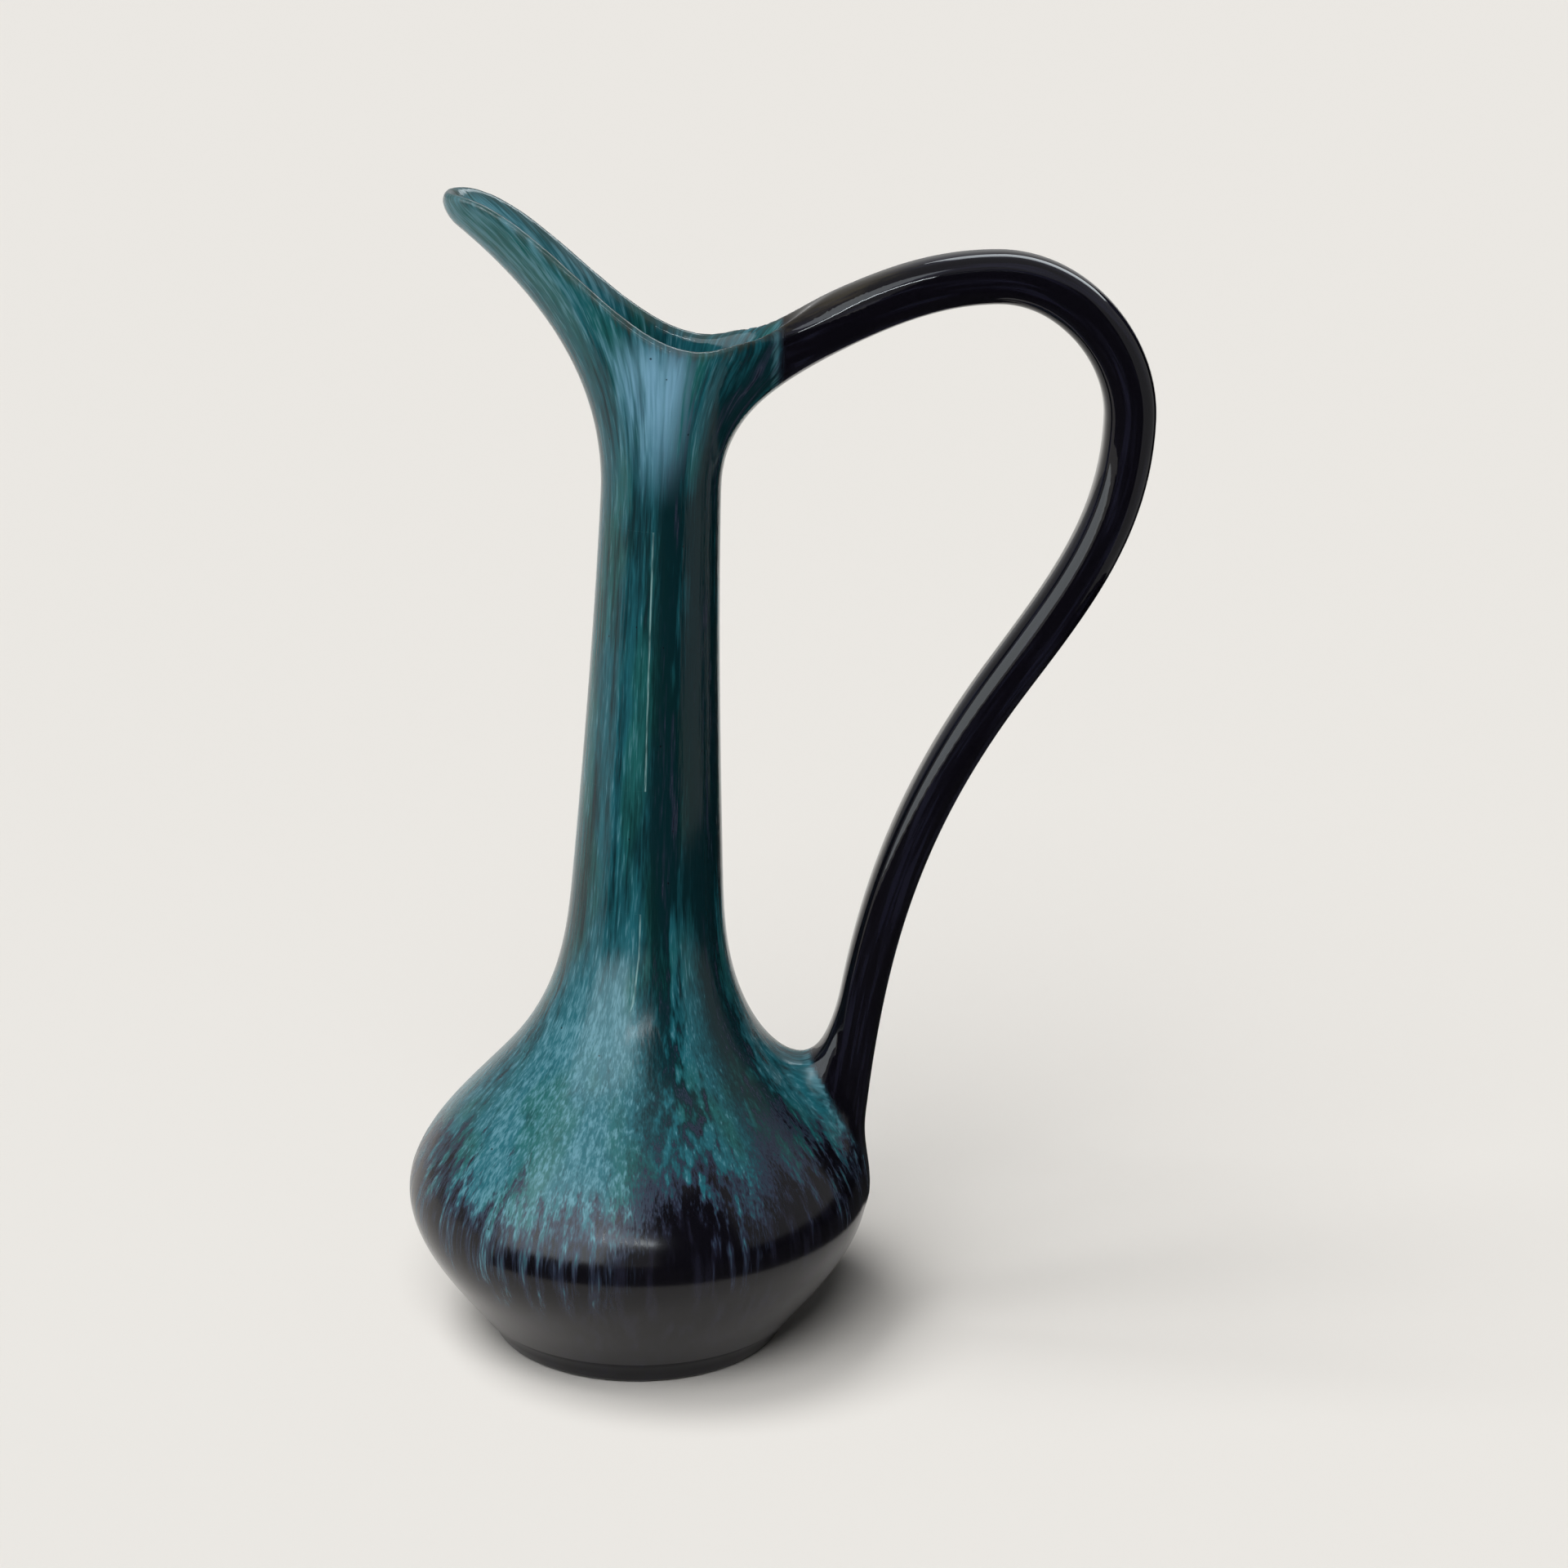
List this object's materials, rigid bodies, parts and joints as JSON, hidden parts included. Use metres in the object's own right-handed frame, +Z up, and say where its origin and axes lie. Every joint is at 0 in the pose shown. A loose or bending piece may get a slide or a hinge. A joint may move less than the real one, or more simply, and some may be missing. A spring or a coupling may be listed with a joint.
{
  "type": "pottery pitcher",
  "caption": "Tall glazed ewer with a squat bulb on a flat foot, a slender leaning neck, a beaked pouring mouth and a long loop handle.",
  "frame": {"origin": "middle of the foot's flat underside, on the surface that the pitcher stands on", "axes": "+Z up, +X towards the handle, -X towards the beak; the pitcher is symmetric about the XZ plane"},
  "size_m": [0.2004, 0.1292, 0.3192],
  "materials": {
    "teal_glaze": "glossy drip glaze, teal streaks over near-black",
    "night_glaze": "glossy near-black navy glaze",
    "foot_glaze": "thin satin near-black glaze, wiped at the standing edge",
    "luting_slip": "fired slip, hidden under the glaze"
  },
  "bodies": {
    "root": {"foot": "foot_glaze", "foot_slip": "luting_slip", "lower_bowl": "night_glaze", "belly_slip": "luting_slip", "shoulder": "teal_glaze", "neck_slip": "luting_slip", "neck": "teal_glaze", "lip_slip": "luting_slip", "pouring_lip": "teal_glaze", "handle": "night_glaze", "upper_handle_join": "teal_glaze", "lower_handle_join": "teal_glaze"}
  },
  "joints": []
}
